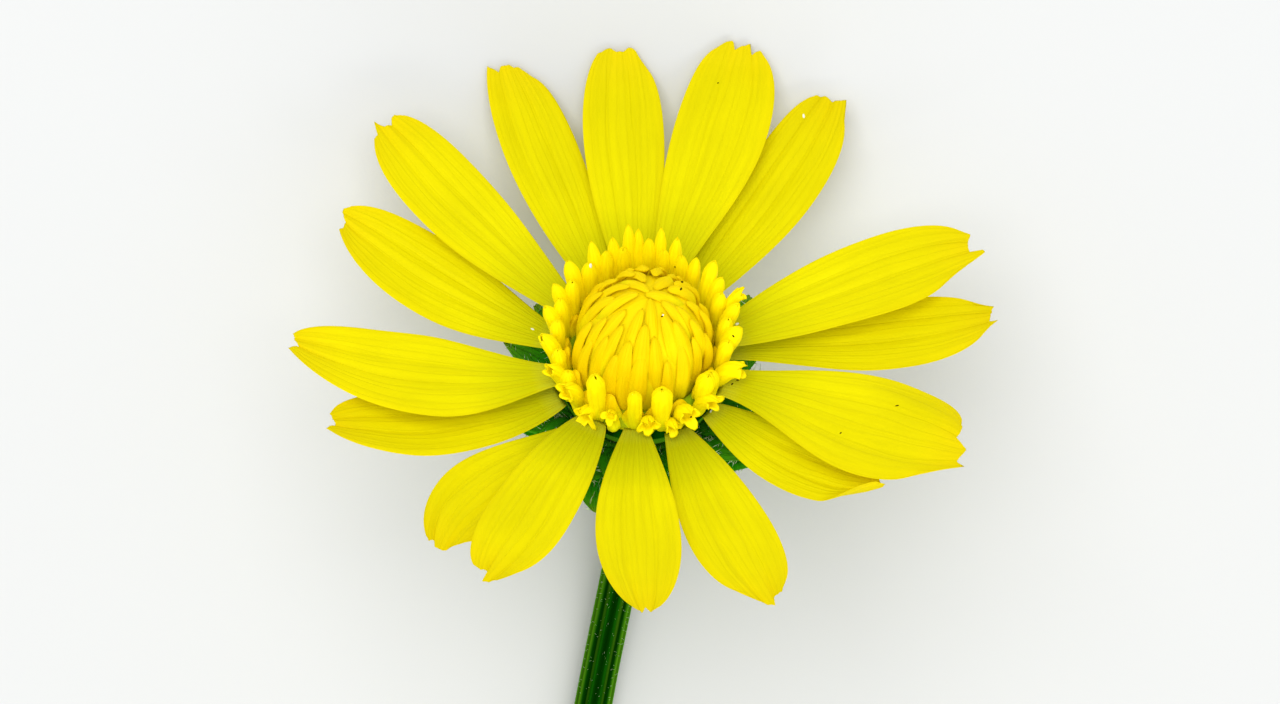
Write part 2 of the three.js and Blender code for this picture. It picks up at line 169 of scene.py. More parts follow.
def rolled(bm, columns, rows, place, tone=0.0, crowding=1.0):
    """Adds a closed skin: place(turn, t) gives its points, turn going once round and t along, both 0 to 1.
    Crowding over 1 sets its rows closer together towards the end."""
    uv, along, tones = layers(bm)
    made = bmesh.ops.create_grid(bm, x_segments=columns, y_segments=rows, size=0.5)["verts"]
    for vert in made:
        vert.co.y = 0.5 - (0.5 - min(0.5, vert.co.y)) ** crowding
    for face in {face for vert in made for face in vert.link_faces}:
        for loop in face.loops:
            loop[uv].uv = (loop.vert.co.x + 0.5, loop.vert.co.y + 0.5)
    for vert in made:
        turn, t = vert.co.x + 0.5, vert.co.y + 0.5
        vert[along], vert[tones] = t, tone
        vert.co = place(turn % 1, t)
    bmesh.ops.remove_doubles(bm, verts=made, dist=MERGE_DISTANCE)


def banded(bm, section):
    """Adds a band round the head: a closed section of radii and heights, taken once round."""
    def place(turn, t):
        radius, height = section[round(t * len(section)) % len(section)]
        return around(radius, tau * turn, 0, height)

    rolled(bm, BAND_COLUMNS, len(section), place)


def shown(name, data):
    """A new object in the scene."""
    made = bpy.data.objects.new(name, data)
    scene.collection.objects.link(made)
    return made


def facing(place, direction):
    """The matrix of something at a place whose Z points in a direction."""
    return Matrix.Translation(place) @ direction.to_track_quat("Z", "Y").to_matrix().to_4x4()


def finished(bm, name, material, slot, nodes=(), matrix=HEAD):
    """Takes a mesh in millimetres to its place, and makes it a piece that rides on the flower."""
    bmesh.ops.transform(bm, matrix=matrix, verts=bm.verts)
    bmesh.ops.recalc_face_normals(bm, faces=bm.faces)
    mesh = bpy.data.meshes.new(name)
    bm.to_mesh(mesh)
    bm.free()
    mesh.polygons.foreach_set("use_smooth", [True] * len(mesh.polygons))
    mesh.materials.append(material)
    piece = shown(name, mesh)
    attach(piece, "root")
    if nodes:
        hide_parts(*nodes)
    print(name, "faces", len(mesh.polygons))
    return piece


# %% [markdown]
# Materials come before the pieces. Petals are thin, so light shows through them, and their colour is a very
# pure yellow with almost no shine. Two effects are shared and so become node groups: fine parallel veins,
# and a soft mottle that keeps large surfaces from looking like plastic. The veins could be cut into the
# mesh, but a mask for colour and bump does it with far fewer faces.

# %% Helpers that build nodes
def srgb(red, green, blue):
    """A screen colour, 0 to 255, as the linear colour that a shader wants."""
    shares = (value / 255 for value in (red, green, blue))
    linear = [s / 12.92 if s <= 0.04045 else ((s + 0.055) / 1.055) ** 2.4 for s in shares]
    return (*linear, 1.0)


def give(node, inputs):
    """Gives inputs of a node a value each, or a link from another socket."""
    for key, value in inputs.items():
        if isinstance(value, bpy.types.NodeSocket):
            node.id_data.links.new(value, node.inputs[key])
        else:
            node.inputs[key].default_value = value
    return node


def add(tree, kind, inputs, **settings):
    """Adds a node with its settings and inputs."""
    made = tree.nodes.new(kind)
    for key, value in settings.items():
        setattr(made, key, value)
    return give(made, inputs)


def maths(tree, operation, first, second=0.0, third=0.0):
    return add(tree, "ShaderNodeMath", {0: first, 1: second, 2: third}, operation=operation).outputs[0]


def painted(tree, name):
    """A value that the mesh carries at its points."""
    return add(tree, "ShaderNodeAttribute", {}, attribute_name=name).outputs["Fac"]


def blend(tree, share, first, second, kind="MIX"):
    """Mixes two colours. Sockets 6 and 7 are the Mix node's two colours, and output 2 is its colour."""
    sockets = {0: share, 6: first, 7: second}
    return add(tree, "ShaderNodeMix", sockets, data_type="RGBA", blend_type=kind).outputs[2]


def ramp(tree, value, *stops):
    """A colour ramp through stops: a place, and then a screen colour or one value for grey."""
    made = add(tree, "ShaderNodeValToRGB", {0: value})
    elements = made.color_ramp.elements
    while len(elements) < len(stops):
        elements.new(1.0)
    for element, (place, *shade) in zip(elements, stops):
        element.position = place
        element.color = srgb(*shade) if len(shade) == 3 else (*shade, *shade, *shade, 1)
    return made.outputs[0]


def effect(name, inputs, outputs):
    """An empty node group with named float inputs and outputs, and its two end nodes."""
    tree = bpy.data.node_groups.new(name, "ShaderNodeTree")
    for key, value in inputs.items():
        tree.interface.new_socket(key, in_out="INPUT", socket_type="NodeSocketFloat").default_value = value
    for key in outputs:
        tree.interface.new_socket(key, in_out="OUTPUT", socket_type="NodeSocketFloat")
    return tree, tree.nodes.new("NodeGroupInput"), tree.nodes.new("NodeGroupOutput")


def stretched_noise(tree, across, along, stretch, detail):
    """Noise that is drawn out along a piece."""
    spread = add(tree, "ShaderNodeCombineXYZ", {0: across, 1: along}).outputs[0]
    drawn = add(tree, "ShaderNodeVectorMath", {0: spread, 1: stretch}, operation="MULTIPLY").outputs[0]
    return add(tree, "ShaderNodeTexNoise", {"Vector": drawn, "Scale": 1.0, "Detail": detail}).outputs[0]


# %% The shared effects: veins and mottle
VEIN_STRETCH = (7.0, 2.0, 1.0)
VEIN_WAVER = 2.2
VEIN_SHARPNESS = 3.0
veins, given, result = effect("fine_veins", {"Across": 0.5, "Along": 0.5, "Count": 14.0}, ["Mask"])
waver = stretched_noise(veins, given.outputs["Across"], given.outputs["Along"], VEIN_STRETCH, 2.0)
shift = maths(veins, "MULTIPLY", waver, VEIN_WAVER)
phase = maths(veins, "MULTIPLY_ADD", given.outputs["Across"], given.outputs["Count"], shift)
wave = maths(veins, "SINE", maths(veins, "MULTIPLY", phase, tau))
crest = maths(veins, "POWER", maths(veins, "MULTIPLY_ADD", wave, 0.5, 0.5), VEIN_SHARPNESS)
give(result, {"Mask": crest})

mottle, given, result = effect("soft_mottle", {"Scale": 400.0, "Strength": 0.1}, ["Factor"])
place = mottle.nodes.new("ShaderNodeTexCoord").outputs["Object"]
cloud = add(mottle, "ShaderNodeTexNoise", {"Vector": place, "Scale": given.outputs["Scale"], "Detail": 4.0})
centred = maths(mottle, "SUBTRACT", cloud.outputs[0], 0.5)
give(result, {"Factor": maths(mottle, "MULTIPLY_ADD", centred, given.outputs["Strength"], 1.0)})
print("shared effects:", [group.name for group in bpy.data.node_groups])

# %% [markdown]
# Each finish is a Principled shader. A thin piece also gets a share of Translucent, which lets light through
# as a petal does. Subsurface scattering would do that too, but it takes longer to render.

# %% A finish with or without light through it
def finish(name, roughness, shine):
    """A new material with its Principled shader, and its UV: the way round a piece and along it."""
    material = bpy.data.materials.new(name)
    material.use_nodes = True
    tree = material.node_tree
    shader = give(tree.nodes["Principled BSDF"], {"Roughness": roughness, "Specular IOR Level": shine})
    uv = add(tree, "ShaderNodeUVMap", {}, uv_map="UVMap").outputs[0]
    split = add(tree, "ShaderNodeSeparateXYZ", {0: uv}).outputs
    return material, tree, shader, split[0], split[1]


def across_blade(tree, roll):
    """The place across a blade, as a cosine of the way round it."""
    return maths(tree, "MULTIPLY_ADD", maths(tree, "COSINE", maths(tree, "MULTIPLY", roll, tau)), 0.5, 0.5)


def mottled(tree, colour, scale, strength):
    cloud = add(tree, "ShaderNodeGroup", {"Scale": scale, "Strength": strength}, node_tree=mottle)
    return blend(tree, 1.0, colour, cloud.outputs[0], "MULTIPLY")


def veined(tree, across, along, count):
    sockets = {"Across": across, "Along": along, "Count": count}
    return add(tree, "ShaderNodeGroup", sockets, node_tree=veins).outputs["Mask"]


def bumped(tree, shader, height, distance, strength):
    """Raises a surface by a mask, at most by a distance in metres."""
    sockets = {"Height": height, "Distance": distance, "Strength": strength}
    normal = add(tree, "ShaderNodeBump", sockets).outputs[0]
    give(shader, {"Normal": normal})
    return normal


def let_light_through(tree, shader, colour, share, normal=None):
    """Mixes a share of light that comes through with the shader's own."""
    through = add(tree, "ShaderNodeBsdfTranslucent", {"Color": colour})
    if normal:
        give(through, {"Normal": normal})
    both = add(tree, "ShaderNodeMixShader", {0: share, 1: shader.outputs[0], 2: through.outputs[0]})
    give(tree.nodes["Material Output"], {"Surface": both.outputs[0]})


# %% Petal yellow
petal_finish, tree, shader, roll, along = finish("petal_yellow", 0.6, 0.04)
across = across_blade(tree, roll)
edge = maths(tree, "ABSOLUTE", maths(tree, "MULTIPLY_ADD", across, 2.0, -1.0))
edge = maths(tree, "POWER", edge, 7.0)
lengthwise = ramp(
    tree, along,
    (0, 214, 218, 60), (0.1, 222, 220, 4), (0.34, 242, 234, 1), (0.8, 240, 228, 1), (1, 240, 220, 3),
)
vein = veined(tree, across, along, 11.0)
fading = ramp(tree, along, (0, 0.3), (0.35, 0.12), (1, 0.08))
colour = blend(tree, maths(tree, "MULTIPLY", vein, fading), lengthwise, srgb(200, 190, 0))
colour = blend(tree, maths(tree, "MULTIPLY", edge, 0.2), colour, srgb(246, 220, 3))
streak = stretched_noise(tree, across, along, (12.0, 1.6, 1.0), 3.0)
streak = ramp(tree, streak, (0.42, 0), (0.7, 1))
colour = blend(tree, maths(tree, "MULTIPLY", streak, 0.45), colour, srgb(224, 212, 1))
colour = blend(tree, painted(tree, "tone"), colour, srgb(206, 186, 4))
# The claws' green: their own colour, and darker on the petals below the disc as painted shade from the head.
colour = blend(tree, painted(tree, "along"), colour, srgb(138, 152, 6))
colour = mottled(tree, colour, 260.0, 0.16)
give(shader, {"Base Color": colour})
normal = bumped(tree, shader, vein, 0.00005, 0.4)
let_light_through(tree, shader, colour, 0.3, normal)

# %% Disc gold, for the dome's scales and the open florets
def gold(name, sheen, count, streak, streak_colour, dull, grain, stops, grown=False):
    """A matt gold with veins and the soft sheen of fine down. A grown piece takes its place along from its
    points, and any other from its net."""
    material, tree, shader, roll, along = finish(name, 0.6, 0.04)
    give(shader, {"Sheen Weight": sheen, "Sheen Roughness": 0.5, "Sheen Tint": srgb(255, 236, 10)})
    lengthwise = ramp(tree, painted(tree, "along") if grown else along, *stops)
    vein = veined(tree, roll, along, count)
    colour = blend(tree, maths(tree, "MULTIPLY", vein, streak), lengthwise, streak_colour)
    colour = blend(tree, painted(tree, "tone"), colour, dull)
    give(shader, {"Base Color": mottled(tree, colour, grain, 0.2)})
    bumped(tree, shader, vein, 0.00003, 0.5)
    return material


scale_finish = gold("scale_gold", 0.35, 9.0, 0.15, srgb(232, 196, 0), srgb(238, 206, 1), 900.0, [
    (0, 192, 204, 8), (0.25, 224, 222, 6), (0.5, 240, 222, 4), (0.7, 238, 207, 2), (1, 234, 202, 2),
], grown=True)
floret_finish = gold("floret_gold", 0.85, 10.0, 0.2, srgb(240, 200, 0), srgb(254, 230, 3), 1100.0, [
    (0, 130, 164, 12), (0.16, 246, 240, 6), (0.4, 255, 240, 4), (0.66, 255, 234, 4), (1, 255, 235, 8),
])

# %% Greens: bracts and stem
bract_finish, tree, shader, roll, along = finish("bract_green", 0.6, 0.12)
across = across_blade(tree, roll)
lengthwise = ramp(
    tree, along, (0, 66, 182, 22), (0.6, 76, 190, 26), (0.9, 112, 196, 36), (1, 170, 206, 66))
vein = veined(tree, across, along, 7.0)
colour = blend(tree, maths(tree, "MULTIPLY", vein, 0.4), lengthwise, srgb(86, 150, 44))
colour = mottled(tree, colour, 700.0, 0.5)
give(shader, {"Base Color": colour})
normal = bumped(tree, shader, vein, 0.00008, 0.7)
let_light_through(tree, shader, colour, 0.45, normal)

stem_finish, tree, shader, roll, along = finish("stem_green", 0.8, 0.0)
# Darker in the furrows, paler on the ribs' crests: partly the ribs' own colour, partly painted light and
# shade.
furrow = ramp(tree, painted(tree, "tone"), (0, 3, 40, 0), (0.6, 6, 54, 1), (1, 14, 76, 3))
colour = mottled(tree, furrow, 500.0, 0.45)
cut_face = ramp(tree, along, (0, 0), (0.985, 0), (0.99, 1))
colour = blend(tree, cut_face, colour, srgb(176, 196, 110))
# Lighter where the stem is seen edge on: a painted sheen along its outline, for the light its fine down
# catches.
edge = add(tree, "ShaderNodeLayerWeight", {"Blend": 0.5}).outputs["Facing"]
edge = ramp(tree, edge, (0, 0), (0.15, 0), (0.75, 0.85))
colour = blend(tree, edge, colour, srgb(88, 150, 24))
give(shader, {"Base Color": colour})
fibre = veined(tree, roll, along, 60.0)
bumped(tree, shader, fibre, 0.00004, 0.5)

hair_finish, tree, shader, roll, along = finish("hair_white", 0.4, 0.4)
colour = ramp(tree, painted(tree, "along"), (0, 110, 176, 50), (0.4, 225, 242, 200), (1, 254, 255, 250))
give(shader, {"Base Color": colour})
let_light_through(tree, shader, colour, 0.3)

speck_finish, tree, shader, roll, along = finish("speck_brown", 0.9, 0.0)
colour = mottled(tree, ramp(tree, along, (0, 60, 40, 4), (1, 98, 70, 8)), 3000.0, 0.6)
give(shader, {"Base Color": colour})
print("materials:", len(bpy.data.materials))

# %% [markdown]
# The petals, which botanists call rays: sixteen long blades on narrow claws. Each differs in its length,
# width and droop, so each has a line of its own, and one formula turns a line into a surface. Sculpting
# sixteen petals by hand would look as good, but a line of numbers keeps each of them close to its CAD solid.

# %% The sixteen petals' dimensions
CLAW_RADIUS = 4.9
CLAW_SHARE = 0.28
UPPER = -0.6
LOWER = -1.5
PETAL_WIDEST = (0.6, 0.65)
PETAL_END = (1.025, 1.075)
PETAL_FULLNESS = (0.62, 0.45)
PETAL_DISH = 0.22
DISH_LEVEL = 0.33
END_CUT_SHARPNESS = 6
TWIST_DONE = 0.6
CREASE_REACH = 0.6
CREASE_GROWS = (0.2, 0.75)
CURL_FROM = 0.76
TABLE_CLEAR = 0.36
TABLE_SOFTNESS = 0.5
# claw and tip are turns in degrees, bow swings the middle between them, and sag moves it along the axis.
# reach and rise place the tip, and seat is the height of the claw's foot. blunt is 0 for an oval tip and 1
# for a square one, and taper over 1 slims the part next to the claw. pleats are places across. ending is the
# tip's outline: at each place across, how much is missing. widest is a place along, if not the usual one.
# twist rolls the blade, a crease folds one edge down in degrees, or the other up if negative, as it grows
# between two places along, a curl lifts the tip, and tone dulls the petal.
Petal = namedtuple(
    "Petal",
    "claw tip bow reach rise sag width blunt taper seat pleats ending widest twist crease grows curl tone",
    defaults=(None, 0, 0, CREASE_GROWS, 0, 0),
)
PETALS = [
    Petal(93.4, 93.2, 0.4, 20.85, 2, -0.1, 4.7, 0.85, 1, -1, (-0.3, 0.36),
        {-1: 1.4, -0.7: 0.4, -0.35: 0, -0.15: 0.4, 0.15: 0.38, 0.4: 0, 1: 0.5}),
    Petal(75.5, 74.2, -2.4, 21.9, 2.2, 0.15, 5.4, 0.9, 1.3, -0.4, (-0.4, 0.26),
        {-1: 1, -0.7: 0.5, -0.4: 0.85, -0.32: 0.1, 0.26: 0.65, 0.34: 0.1, 0.6: 0.3, 1: 1.1}),
    Petal(58.8, 57.6, -2.3, 20.9, 1.3, -0.3, 4.6, 0.8, 0.8, LOWER, (-0.1, 0.5),
        {-1: 1.1, -0.85: 0.65, -0.75: 0, -0.1: 0.4, 0.3: 0.3, 0.7: 0.55, 1: 1}, tone=0.05),
    Petal(17.6, 15.9, 0.4, 20.25, 2.8, 0.2, 5.3, 0.7, 0.8, UPPER, (-0.1, 0.4),
        {-1: 2.7, -0.63: 0.55, -0.42: 0, -0.26: 0.08, -0.16: 0.75, 0.2: 0.75, 0.65: 0.42, 1: 0.95}),
    Petal(14, 2.4, -3.3, 20.3, 2.4, -0.6, 4.9, 0.5, 1.2, LOWER, (-0.15, 0.4),
        {-1: 0.95, -0.6: 0.5, -0.3: 0, -0.15: 0.5, 0.5: 0.3, 0.65: 0.2, 0.8: 0.6, 1: 1.2}, tone=0.08),
    Petal(-19.5, -25.1, -2.9, 20.6, 2.8, 0.2, 7.2, 1, 1.7, UPPER, (-0.46, 0.36),
        {-1: 2.3, -0.8: 1.1, -0.61: 0, -0.46: 0.6, -0.03: 0.44, 0.34: 1.38, 0.45: 1.25, 0.69: 1.33, 1: 1.57},
        crease=22, tone=0.02),
    Petal(-37.4, -35.9, -3.3, 17.2, 1, -0.2, 4.4, 0.6, 0.9, LOWER, (-0.3, 0.3),
        {-1: 0.5, -0.6: 0, 0: 0.5, 0.5: 0.9, 1: 1.4}, curl=0.6, crease=-85, grows=(0.76, 0.97)),
    Petal(-65.9, -67.9, -1.5, 19.8, 1.5, -0.1, 4.8, 0.5, 0.95, -1.3, (-0.3, 0.3),
        {-1: 1.6, -0.65: 0.8, 0: 0, 0.27: 0.7, 0.75: 0.8, 1: 1.2}, tone=0.02),
    Petal(-92.5, -89, 0, 19.6, 2.8, 0, 4.75, 0.2, 1, UPPER, (-0.3, 0.36),
        {-1: 0.35, -0.6: 0.1, -0.25: 0, 0: 0.3, 0.25: 0.02, 0.6: 0.12, 1: 0.35}, tone=0.02),
    Petal(-121, -116.5, 1.8, 19.66, 2.8, 0, 4.7, 0.4, 0.7, UPPER, (-0.15, 0.4),
        {-1: 0.9, -0.43: 0.78, -0.15: 1.03, 0.08: 0, 0.76: 0.5, 1: 1.2}),
    Petal(-125.2, -127.7, -5.6, 18.15, 1, -0.2, 4.9, 0.5, 1.3, LOWER, (-0.54, 0.3),
        {-1: 0.3, -0.77: 0.16, -0.54: 0.5, -0.36: 0.03, 0.18: 0.16, 0.64: 0.9, 1: 1.75}, tone=0.05),
    Petal(-155, -162.5, 0, 18.65, 1.2, -0.8, 4.75, 0.2, 0.85, LOWER, (-0.3, 0.2),
        {-1: 0.7, -0.72: 0.5, -0.3: 0.58, 0.2: 0.62, 0.44: 0.23, 0.76: 0, 1: 0.2}, tone=0.03),
    Petal(-166, -176.5, 1.7, 19.88, 2.9, -0.4, 5.45, 0, 1.3, UPPER, (-0.35, 0.15),
        {-1: 0.4, -0.8: 0.31, -0.25: 0.38, 0.15: 0.6, 0.5: 0.27, 0.9: 0, 1: 0.05}, twist=-6, widest=0.5),
    Petal(158.5, 154.2, 0, 19.1, 2, -0.7, 5.1, 0.2, 1.2, LOWER, (-0.3, 0.15),
        {-1: 0.45, -0.58: 0.06, -0.33: 0, 0: 0.26, 0.15: 0.46, 0.7: 0.55, 1: 0.42}, twist=-3),
    Petal(139.7, 135.2, 0.6, 21.15, 2.5, 0.1, 4.9, 0.75, 1.1, UPPER, (-0.26, 0.2),
        {-1: 0.8, -0.86: 0.64, -0.61: 0.4, -0.46: 0.39, -0.26: 0.7, 0.06: 0.56, 0.3: -0.15, 0.62: 0.7,
         0.9: 0.82, 1: 1}),
    Petal(111.6, 111.3, 0.5, 21.3, 1.4, -0.3, 4.3, 0.8, 1, LOWER, (-0.3, 0.5),
        {-1: 1.3, -0.5: 0.4, -0.1: 0, 0.35: 0, 0.5: 0.2, 0.85: -0.1, 1: -0.2}),
]

# %% [markdown]
# A petal's middle surface follows the same kind of formula as its CAD solid, a little nearer to the photo.
# It adds the fine relief that a solid leaves out: lengthwise pleats that run to the notches, a slight wave
# of the edges, and small irregular teeth at the tip.

# %% A petal's middle surface
PLEAT_DEPTH = 0.13
PLEAT_WIDTH = 0.1
PLEATS_GROW = (0.1, 0.5)
EDGE_WAVE = 0.2
WAVES = 3
WAVES_GROW = (0.1, 0.6)
FRAY = 0.06
FRAYS = 7


def petal_share(petal, row):
    """How wide a petal is along it, as a share of its greatest width."""
    widest, end, fullness = (
        mix(oval, square, petal.blunt) for oval, square in (PETAL_WIDEST, PETAL_END, PETAL_FULLNESS))
    widest = petal.widest or widest
    if row < widest:
        return CLAW_SHARE + (1 - CLAW_SHARE) * sin(pi / 2 * row / widest) ** petal.taper
    return (1 - ((row - widest) / (end - widest)) ** 2) ** fullness


def end_cut(petal, s):
    """How much of a petal is missing at its end: its notches and corners, and a slight fray."""
    fray = FRAY * noise.noise(Vector((s * FRAYS, petal.claw, 0)))
    for (before, shallow), (after, deep) in pairwise(petal.ending.items()):
        if s <= after:
            break
    return mix(shallow, deep, min(1, max(0, (s - before) / (after - before)))) + fray


def bent_by_table(point):
    """Bends a point of the head up where it would reach the table, as a soft petal bends there."""
    height = HEAD_HEIGHT - point.y * HEAD_COSINE + point.z * HEAD_SINE
    over = height - TABLE_CLEAR
    rise = (hypot(over, TABLE_SOFTNESS) - over) / 2
    return point + Vector((0, -HEAD_COSINE, HEAD_SINE)) * rise


def petal_surface(petal):
    """The middle surface of a petal, as a function of s across it, -1 to 1, and row along it, 0 to 1."""
    length = petal.reach - CLAW_RADIUS
    crease = radians(petal.crease)
    side = copysign(1, crease)

    @functools.cache
    def place(s, row):
        t = row - end_cut(petal, s) / length * row ** END_CUT_SHARPNESS
        bow = petal.bow * hump(t)
        turn = radians(petal.claw + (petal.tip - petal.claw) * t + bow)
        share = petal_share(petal, row)
        half = petal.width / 2 * share
        fold = crease * smooth(t, *petal.grows)
        folded = max(0, side * s - 1 + CREASE_REACH * t) * half
        across = s * half - side * folded * (1 - cos(fold))
        pleat = sum(exp(-((s - at) / PLEAT_WIDTH) ** 2) for at in petal.pleats)
        pleat *= PLEAT_DEPTH * smooth(t, *PLEATS_GROW)
        wave = EDGE_WAVE * noise.noise(Vector((s, WAVES * t, petal.claw))) * smooth(t, *WAVES_GROW) * abs(s)
        dish = PETAL_DISH * (s * s - DISH_LEVEL) * share - folded * sin(fold) - pleat + wave
        roll = radians(petal.twist) * smooth(t, 0, TWIST_DONE)
        sideways = across * cos(roll) - dish * sin(roll)
        lift = across * sin(roll) + dish * cos(roll)
        curled = petal.curl * max(0, (t - CURL_FROM) / (1 - CURL_FROM)) ** 2
        height = mix(petal.seat, petal.rise, t) + petal.sag * hump(t) + curled
        return bent_by_table(around(CLAW_RADIUS + length * t, turn, sideways, height + lift))

    return place


# %% [markdown]
# A blade's section is a thin lens, so the net goes over the top face and back under the lower one, and the
# edges come out rounded and fine. The thickness follows the surface's own normal.

# %% Blades: petals and bracts
NORMAL_STEP = 0.01
ROOT_ROUNDING = 0.05
TIP_THINNING = 0.14
ROW_CROWDING = 1.5


def blade(bm, surface, thickness, columns, rows, tone=0.0):
    """Adds a closed blade round a middle surface."""
    @functools.cache
    def normal(s, row):
        across = surface(s + NORMAL_STEP, row) - surface(s - NORMAL_STEP, row)
        ahead = surface(s, min(1, row + NORMAL_STEP)) - surface(s, max(0, row - NORMAL_STEP))
        return across.cross(ahead).normalized()

    def place(turn, row):
        s = round(cos(tau * turn), 6)
        row = round(row, 6)
        rounded = min(1, row / ROOT_ROUNDING)
        thinned = min(1, (1 - row) / TIP_THINNING)
        rounding = sqrt(max(0, rounded * (2 - rounded)))
        half = thickness / 2 * sin(tau * turn) * rounding * thinned
        return surface(s, row) + normal(s, row) * half

    rolled(bm, columns, rows, place, tone, ROW_CROWDING)


PETAL_THICKNESS = 0.3
PETAL_NET = (96, 64)
# The claws are greener than the blades, and more so on the petals below the disc: painted shade from the
# head.
CLAW_GREEN_AND_SHADE = (0.1, 0.34)
CLAW_SHADE_TURNS = (0.5, 0.95)
CLAW_SHADE_ENDS = (0.04, 0.42)
for number, petal in enumerate(PETALS, 1):
    bm = bmesh.new()
    blade(bm, petal_surface(petal), PETAL_THICKNESS, *PETAL_NET, petal.tone)
    uv, along, tones = layers(bm)
    lowness = smooth(-sin(radians(petal.claw)), *CLAW_SHADE_TURNS)
    # On a petal, "along" now holds its claw's green, with painted shade on the petals below the disc.
    for vert in bm.verts:
        vert[along] = mix(*CLAW_GREEN_AND_SHADE, lowness) * (1 - smooth(vert[along], *CLAW_SHADE_ENDS))
    finished(bm, f"petal_{number:02d}", petal_finish, "rays", [f"ray_{number:02d}"])

# %% [markdown]
# The dome of the disc is covered by pales: stiff, keeled scales that overlap like those of an artichoke and
# lean towards the top. Most flower heads grow them on a golden spiral. A displaced sphere would give bumps,
# but only separate scales give the deep shade between them, so each is a small closed skin.

# %% The dome
DOME_RADIUS = 3.66
DOME_WAIST = 0.4
DOME_TOP = 4.8
DOME_FOOT = -1.62
CORE_INSET = 0.02
CORE_WALL = 0.2
CORE_NET = (40, 20)
CORE_TONES = (0.4, 0.6)
APEX_SHIFT = Vector((0.11, 0.08, 0))


def leaning(point):
    """The dome's top sits a little off its axis."""
    return point + APEX_SHIFT * max(0, point.z)


def on_dome(angle, turn, lift):
    """A point on the dome, at an angle down from its top, or lifted off it."""
    curved = min(angle, pi / 2)
    below = (angle - curved) * DOME_RADIUS
    height = DOME_WAIST + (DOME_TOP - DOME_WAIST + lift) * cos(curved)
    return around((DOME_RADIUS + lift) * sin(curved), turn, 0, height - below)


def core_place(turn, t):
    """The dome's own skin under its pales: a foot, a wall and a round top."""
    if t == 0:
        return leaning(around(0, 0, 0, DOME_FOOT))
    if t < CORE_WALL:
        height = mix(DOME_FOOT, DOME_WAIST, t / CORE_WALL)
        return leaning(around(DOME_RADIUS - CORE_INSET, tau * turn, 0, height))
    return leaning(on_dome(pi / 2 * (1 - t) / (1 - CORE_WALL), tau * turn, -CORE_INSET))


dome = bmesh.new()
rolled(dome, *CORE_NET, core_place)
uv, along, tones = layers(dome)
for vert in dome.verts:
    vert[along] = mix(*CORE_TONES, smooth(vert.co.z, DOME_WAIST, DOME_TOP))

# %% The pales on it
PALES = 50
PALE_TIP_NEAR = 0.2
PALE_TIP_FAR = 1.24
PALE_TIP_LEAST = -0.2
PALE_SPANS = (0.95, 1.45)
PALE_WIDTHS = (0.9, 1.18)
PALE_KEEL = 0.31
PALE_BACK = 0.24
PALE_RIDGE = 1.35
PALE_SUNK = -0.42
PALE_LIFTED = 0.38
PALE_ROOT = 0.55
PALE_WIDEST = 0.4
PALE_POINT = 0.52
PALE_GROWTH = 0.7
TIP_DIP = 0.12
TIP_DIPS_FROM = 0.8
TURN_PLAY = (-0.14, 0.14)
SPAN_PLAY = (0.85, 1.1)
WIDTH_PLAY = (0.8, 1.12)
LIFT_PLAY = (-0.1, 0.16)
SKEW_PLAY = (-0.05, 0.3)
DULLNESS = (0, 0.6)
PALE_NET = (20, 20)
GOLDEN_TURN = pi * (3 - sqrt(5))
draw = random.Random(7)


def pale_share(t):
    """How wide a pale is along it: a slim root, a full middle and a bluntly pointed tip."""
    if t == 0:
        return 0
    if t < PALE_WIDEST:
        return mix(PALE_ROOT, 1, sin(pi / 2 * t / PALE_WIDEST))
    return (1 - ((t - PALE_WIDEST) / (1 - PALE_WIDEST)) ** 2) ** PALE_POINT


def pale(bm, turn, tip_angle, span, width, lift, skew, tone, sunk=PALE_SUNK):
    """Adds one pale that follows the dome up to its tip."""
    def place(way, t):
        down = tip_angle + span * (1 - t)
        here = turn + skew * (1 - t) ** 2
        height = mix(sunk, PALE_LIFTED + lift, t) - TIP_DIP * smooth(t, TIP_DIPS_FROM, 1)
        out = (on_dome(down, here, 1) - on_dome(down, here, 0)).normalized()
        across = around(0, here, 1, 0)
        angle = tau * way
        share = pale_share(t)
        x = width / 2 * share * cos(angle)
        if sin(angle) >= 0:
            y = PALE_KEEL * width * share * (1 - abs(cos(angle)) ** PALE_RIDGE)
        else:
            y = PALE_BACK * width * share * sin(angle)
        return leaning(on_dome(down, here, height) + across * x + out * y)

    rolled(bm, *PALE_NET, place, tone)


for number in range(PALES):
    share = (number + 0.5) / PALES
    tip_angle = max(PALE_TIP_LEAST, acos(1 - share * (1 - cos(PALE_TIP_FAR))) - PALE_TIP_NEAR)
    turn = number * GOLDEN_TURN + draw.uniform(*TURN_PLAY)
    span = mix(*PALE_SPANS, share ** PALE_GROWTH) * draw.uniform(*SPAN_PLAY)
    width = mix(*PALE_WIDTHS, share ** PALE_GROWTH) * draw.uniform(*WIDTH_PLAY)
    lift, skew, dull = (draw.uniform(*play) for play in (LIFT_PLAY, SKEW_PLAY, DULLNESS))
    pale(dome, turn, tip_angle, span, width, lift, skew, dull)

